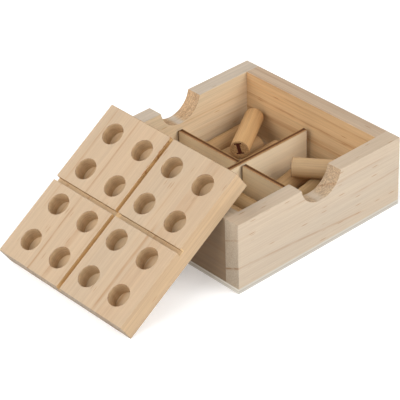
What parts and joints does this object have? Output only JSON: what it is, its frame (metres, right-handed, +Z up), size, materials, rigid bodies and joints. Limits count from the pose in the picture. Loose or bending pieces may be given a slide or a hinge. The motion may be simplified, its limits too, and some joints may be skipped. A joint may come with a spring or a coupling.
{
  "type": "wooden peg board game in a box",
  "caption": "Open pine box with cross divider, finger notches and numbered round pegs; the square board with a grid of blind peg holes leans on the rim.",
  "frame": {"origin": "centre of the underside of the box", "axes": "+X along the notched walls away from the leaning board, +Y towards the back notched wall, +Z up"},
  "size_m": [0.2425, 0.15, 0.0814],
  "materials": {
    "pine_walls": "sanded, unfinished",
    "plywood_bottom": "sanded plywood",
    "plywood_strips": "laser-cut plywood with scorched edges",
    "pine_board": "sanded, unfinished",
    "dowel": "sanded dowel, numeral burnt into one end"
  },
  "bodies": {
    "box": {"bottom_panel": "plywood_bottom", "wall_front": "pine_walls", "wall_back": "pine_walls", "wall_left": "pine_walls", "wall_right": "pine_walls"},
    "lower divider": {"divider_lower": "plywood_strips"},
    "upper divider": {"divider_upper": "plywood_strips"},
    "board": {"game_board": "pine_board"},
    "peg one by divider": {"peg_one_by_divider": "dowel"},
    "peg one middle": {"peg_one_middle": "dowel"},
    "peg one by wall": {"peg_one_by_wall": "dowel"},
    "peg one on top": {"peg_one_on_top": "dowel"},
    "peg two by divider": {"peg_two_by_divider": "dowel"},
    "peg two middle": {"peg_two_middle": "dowel"},
    "peg two by wall": {"peg_two_by_wall": "dowel"},
    "peg two on top": {"peg_two_on_top": "dowel"},
    "peg three by divider": {"peg_three_by_divider": "dowel"},
    "peg three middle": {"peg_three_middle": "dowel"},
    "peg three by wall": {"peg_three_by_wall": "dowel"},
    "peg three on top": {"peg_three_on_top": "dowel"},
    "peg four by divider": {"peg_four_by_divider": "dowel"},
    "peg four middle": {"peg_four_middle": "dowel"},
    "peg four by wall": {"peg_four_by_wall": "dowel"},
    "peg four on top": {"peg_four_on_top": "dowel"}
  },
  "joints": [
    {"name": "board_lift", "type": "slide", "parent": "box", "child": "board", "axis": [0, 0, 1], "range_m": [0, 0.1]},
    {"name": "lower_divider_lift", "type": "slide", "parent": "box", "child": "lower divider", "axis": [0, 0, 1], "range_m": [0, 0.011]},
    {"name": "upper_divider_lift", "type": "slide", "parent": "lower divider", "child": "upper divider", "axis": [0, 0, 1], "range_m": [0, 0.016]},
    {"name": "peg_one_by_divider_lift", "type": "slide", "parent": "box", "child": "peg one by divider", "axis": [0, 0, 1], "range_m": [0, 0.06]},
    {"name": "peg_one_middle_lift", "type": "slide", "parent": "peg one by divider", "child": "peg one middle", "axis": [0, 0, 1], "range_m": [0, 0.06]},
    {"name": "peg_one_by_wall_lift", "type": "slide", "parent": "peg one middle", "child": "peg one by wall", "axis": [0, 0, 1], "range_m": [0, 0.06]},
    {"name": "peg_one_on_top_lift", "type": "slide", "parent": "peg one by wall", "child": "peg one on top", "axis": [0, 0, 1], "range_m": [0, 0.06]},
    {"name": "peg_two_by_divider_lift", "type": "slide", "parent": "box", "child": "peg two by divider", "axis": [0, 0, 1], "range_m": [0, 0.06]},
    {"name": "peg_two_middle_lift", "type": "slide", "parent": "peg two by divider", "child": "peg two middle", "axis": [0, 0, 1], "range_m": [0, 0.06]},
    {"name": "peg_two_by_wall_lift", "type": "slide", "parent": "peg two middle", "child": "peg two by wall", "axis": [0, 0, 1], "range_m": [0, 0.06]},
    {"name": "peg_two_on_top_lift", "type": "slide", "parent": "peg two by wall", "child": "peg two on top", "axis": [0, 0, 1], "range_m": [0, 0.06]},
    {"name": "peg_three_by_divider_lift", "type": "slide", "parent": "box", "child": "peg three by divider", "axis": [0, 0, 1], "range_m": [0, 0.06]},
    {"name": "peg_three_middle_lift", "type": "slide", "parent": "peg three by divider", "child": "peg three middle", "axis": [0, 0, 1], "range_m": [0, 0.06]},
    {"name": "peg_three_by_wall_lift", "type": "slide", "parent": "peg three middle", "child": "peg three by wall", "axis": [0, 0, 1], "range_m": [0, 0.06]},
    {"name": "peg_three_on_top_lift", "type": "slide", "parent": "peg three by wall", "child": "peg three on top", "axis": [0, 0, 1], "range_m": [0, 0.06]},
    {"name": "peg_four_by_divider_lift", "type": "slide", "parent": "box", "child": "peg four by divider", "axis": [0, 0, 1], "range_m": [0, 0.06]},
    {"name": "peg_four_middle_lift", "type": "slide", "parent": "peg four by divider", "child": "peg four middle", "axis": [0, 0, 1], "range_m": [0, 0.06]},
    {"name": "peg_four_by_wall_lift", "type": "slide", "parent": "peg four middle", "child": "peg four by wall", "axis": [0, 0, 1], "range_m": [0, 0.06]},
    {"name": "peg_four_on_top_lift", "type": "slide", "parent": "peg four by wall", "child": "peg four on top", "axis": [0, 0, 1], "range_m": [0, 0.06]}
  ]
}
